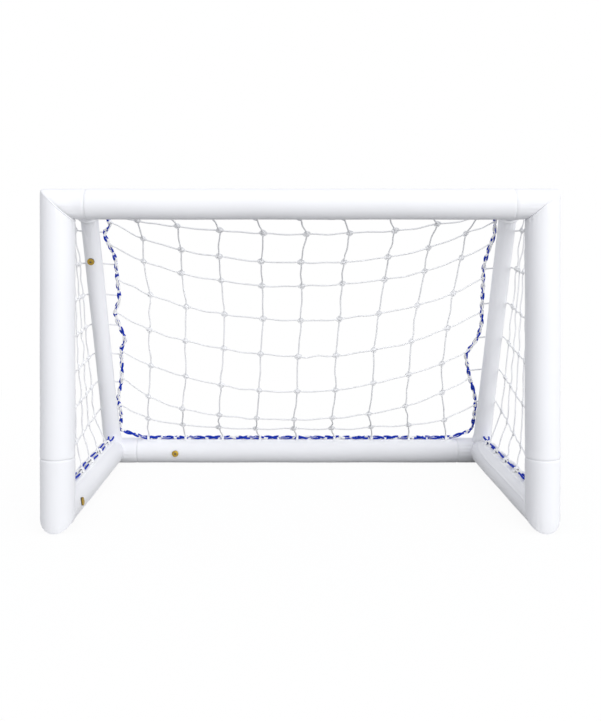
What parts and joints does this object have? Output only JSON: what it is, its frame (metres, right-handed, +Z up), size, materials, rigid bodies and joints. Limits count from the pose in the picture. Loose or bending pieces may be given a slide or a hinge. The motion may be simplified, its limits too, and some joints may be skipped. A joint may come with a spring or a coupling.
{
  "type": "mini soccer goal",
  "caption": "Inflatable mini soccer goal: white welded air tubes, a laced white knotted net, blue and white rope, and brass air valves with press-in cores.",
  "frame": {"origin": "on the floor in the middle of the goal's footprint", "axes": "+Z up, -Y out of the mouth towards the field, +X to the right-hand post seen from the field"},
  "size_m": [1.1994, 0.7994, 0.7867],
  "materials": {
    "white_skin": "white PVC-coated fabric skin, blown up tight, soft sheen",
    "weld_tape": "white PVC weld tape and belt loops, satin",
    "net_cord": "white twisted net cord",
    "rope": "doubled white rope with royal blue flecks",
    "valve_brass": "knurled, slightly dull",
    "valve_rubber": "matt black",
    "valve_core": "dark worn metal"
  },
  "bodies": {
    "frame": {"crossbar": "white_skin", "rear_bar": "white_skin", "crossbar_stub_left": "white_skin", "crossbar_stub_right": "white_skin", "post_left": "white_skin", "post_right": "white_skin", "post_foot_left": "white_skin", "post_foot_right": "white_skin", "ground_tube_left": "white_skin", "ground_tube_right": "white_skin", "rear_stub_left": "white_skin", "rear_stub_right": "white_skin", "top_arm_left": "white_skin", "top_arm_right": "white_skin", "strut_left": "white_skin", "strut_right": "white_skin", "elbow_band_left": "weld_tape", "elbow_band_right": "weld_tape", "crossbar_strip": "weld_tape", "rear_strip": "weld_tape", "ground_strip_left": "weld_tape", "ground_strip_right": "weld_tape", "post_strip_left": "weld_tape", "post_strip_right": "weld_tape", "arm_strip_left": "weld_tape", "arm_strip_right": "weld_tape", "crossbar_rope": "rope", "rear_rope": "rope", "ground_rope_left": "rope", "ground_rope_right": "rope", "post_rope_left": "rope", "post_rope_right": "rope", "arm_rope_left": "rope", "arm_rope_right": "rope", "corner_rope_left": "rope", "corner_rope_right": "rope", "back_net": "net_cord", "side_net_left": "net_cord", "side_net_right": "net_cord", "strut_valve_body": "valve_brass", "strut_valve_nut": "valve_brass", "strut_valve_seal": "valve_rubber", "rear_valve_body": "valve_brass", "rear_valve_nut": "valve_brass", "rear_valve_seal": "valve_rubber", "ground_valve_body": "valve_brass", "ground_valve_nut": "valve_brass", "ground_valve_seal": "valve_rubber"},
    "strut_valve_core_body": {"strut_valve_core": "valve_core"},
    "rear_valve_core_body": {"rear_valve_core": "valve_core"},
    "ground_valve_core_body": {"ground_valve_core": "valve_core"}
  },
  "joints": [
    {"name": "strut_valve_press", "type": "slide", "parent": "frame", "child": "strut_valve_core_body", "axis": [0.1045, 0.8816, 0.4603], "range_m": [0, 0.0025], "stiffness_N_per_m": 300},
    {"name": "rear_valve_press", "type": "slide", "parent": "frame", "child": "rear_valve_core_body", "axis": [0, 0.9962, 0.0872], "range_m": [0, 0.0025], "stiffness_N_per_m": 300},
    {"name": "ground_valve_press", "type": "slide", "parent": "frame", "child": "ground_valve_core_body", "axis": [-0.9903, 0, -0.1392], "range_m": [0, 0.0025], "stiffness_N_per_m": 300}
  ]
}
